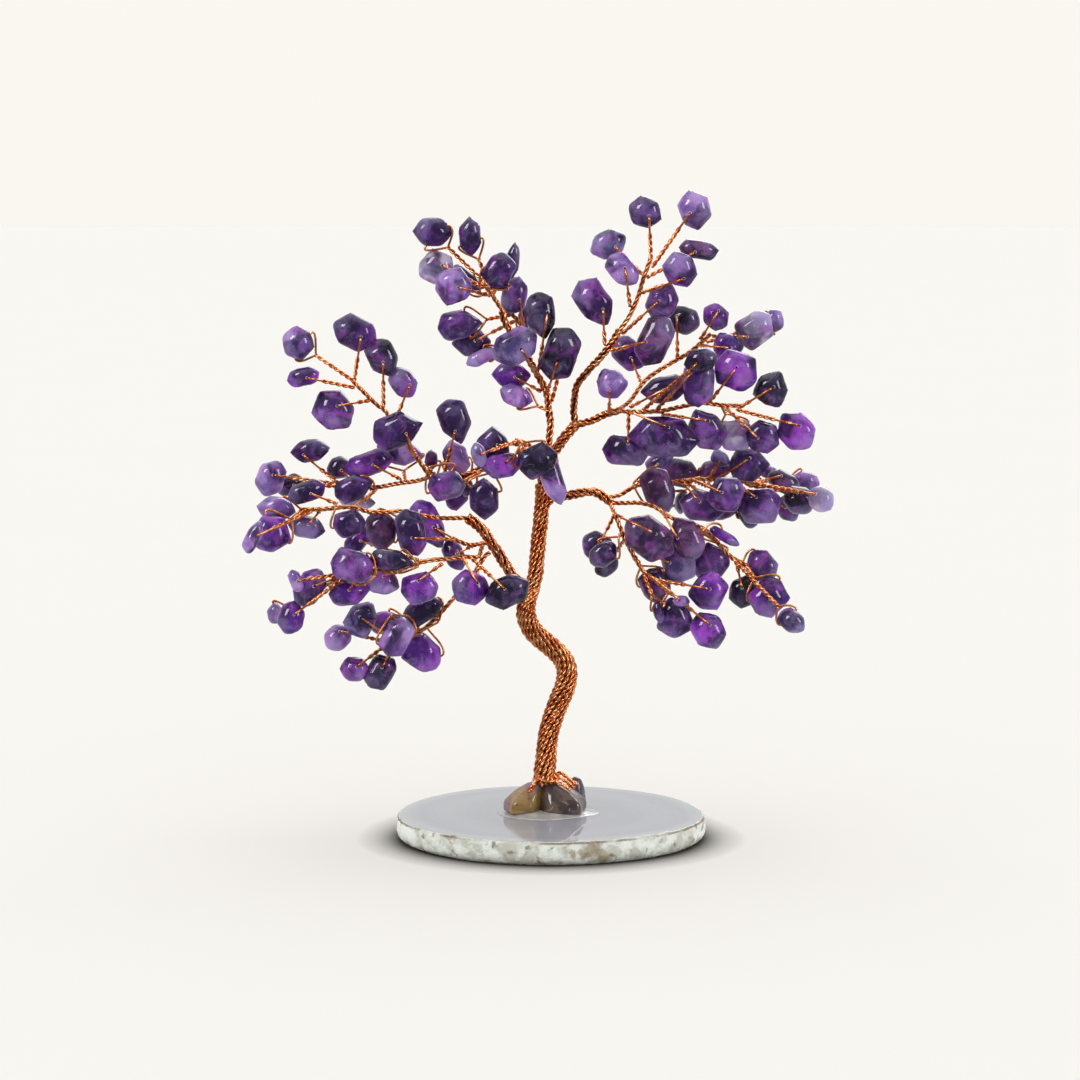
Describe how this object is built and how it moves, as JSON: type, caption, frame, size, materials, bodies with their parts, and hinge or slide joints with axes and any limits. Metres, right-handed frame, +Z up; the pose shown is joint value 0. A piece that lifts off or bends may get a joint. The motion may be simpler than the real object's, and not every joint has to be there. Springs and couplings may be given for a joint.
{
  "type": "gemstone tree ornament",
  "caption": "Ornamental tree of drilled amethyst chips on twisted copper wire limbs, standing on tumbled nuggets glued to a polished agate slice.",
  "frame": {"origin": "centre of the agate slice's underside, on the table", "axes": "+Z up, +X to the right seen from the front, +Y to the back"},
  "size_m": [0.1352, 0.0691, 0.1497],
  "materials": {
    "amethyst": "tumble polished translucent quartz, violet with white veils",
    "copper_wire": "bright drawn copper, twisted in pairs",
    "agate": "polished face with faint bands, rough natural rim",
    "clear_resin": "clear cured adhesive, glossy",
    "amber_quartz": "tumble polished, yellow brown",
    "smoky_quartz": "tumble polished, grey brown and purple"
  },
  "bodies": {
    "stand_and_trunk": {"agate_slice": "agate", "amber_nugget": "amber_quartz", "front_chips": "amethyst", "front_wire": "copper_wire", "resin_pool": "clear_resin", "root_strands": "copper_wire", "small_nugget": "smoky_quartz", "smoky_nugget": "smoky_quartz", "tie_wire": "copper_wire", "trunk_core": "copper_wire", "trunk_strands": "copper_wire"},
    "crown_left_limb": {"crown_left_cable": "copper_wire", "crown_left_low_chips": "amethyst", "crown_left_low_wire": "copper_wire", "crown_left_middle_chips": "amethyst", "crown_left_middle_wire": "copper_wire", "crown_left_tip_chips": "amethyst", "crown_left_tip_wire": "copper_wire"},
    "crown_right_limb": {"crown_right_cable": "copper_wire", "crown_right_middle_chips": "amethyst", "crown_right_middle_wire": "copper_wire", "crown_right_tip_chips": "amethyst", "crown_right_tip_wire": "copper_wire", "far_right_middle_chips": "amethyst", "far_right_middle_wire": "copper_wire", "far_right_tip_chips": "amethyst", "far_right_tip_wire": "copper_wire", "far_right_upper_chips": "amethyst", "far_right_upper_wire": "copper_wire"},
    "left_limb": {"left_cable": "copper_wire", "left_inner_chips": "amethyst", "left_inner_wire": "copper_wire", "left_outer_chips": "amethyst", "left_outer_wire": "copper_wire", "left_upper_chips": "amethyst", "left_upper_wire": "copper_wire"},
    "low_left_limb": {"low_left_bottom_chips": "amethyst", "low_left_bottom_wire": "copper_wire", "low_left_cable": "copper_wire", "low_left_middle_chips": "amethyst", "low_left_middle_wire": "copper_wire", "low_left_outer_chips": "amethyst", "low_left_outer_wire": "copper_wire", "low_left_tip_chips": "amethyst", "low_left_tip_wire": "copper_wire", "low_left_upper_chips": "amethyst", "low_left_upper_wire": "copper_wire"},
    "low_right_limb": {"low_right_bottom_chips": "amethyst", "low_right_bottom_wire": "copper_wire", "low_right_cable": "copper_wire", "low_right_inner_chips": "amethyst", "low_right_inner_wire": "copper_wire", "low_right_lower_chips": "amethyst", "low_right_lower_wire": "copper_wire", "low_right_middle_chips": "amethyst", "low_right_middle_wire": "copper_wire", "low_right_outer_chips": "amethyst", "low_right_outer_wire": "copper_wire"}
  },
  "joints": [
    {"name": "crown_left_bend", "type": "hinge", "parent": "stand_and_trunk", "child": "crown_left_limb", "pos_m": [-0.00047, -0.0012, 0.09077], "axis": [1, 0, 0], "range_deg": [-6, 6]},
    {"name": "crown_right_bend", "type": "hinge", "parent": "stand_and_trunk", "child": "crown_right_limb", "pos_m": [0.00057, 0.0008, 0.08969], "axis": [0, 0, 1], "range_deg": [-6, 6]},
    {"name": "left_bend", "type": "hinge", "parent": "stand_and_trunk", "child": "left_limb", "pos_m": [-0.00128, 0.0008, 0.08715], "axis": [0, 0, 1], "range_deg": [-6, 6]},
    {"name": "low_left_bend", "type": "hinge", "parent": "stand_and_trunk", "child": "low_left_limb", "pos_m": [-0.0051, 0, 0.0565], "axis": [0, 0, 1], "range_deg": [-6, 6]},
    {"name": "low_right_bend", "type": "hinge", "parent": "stand_and_trunk", "child": "low_right_limb", "pos_m": [-0.00197, 0, 0.07933], "axis": [0, 0, 1], "range_deg": [-6, 6]}
  ]
}
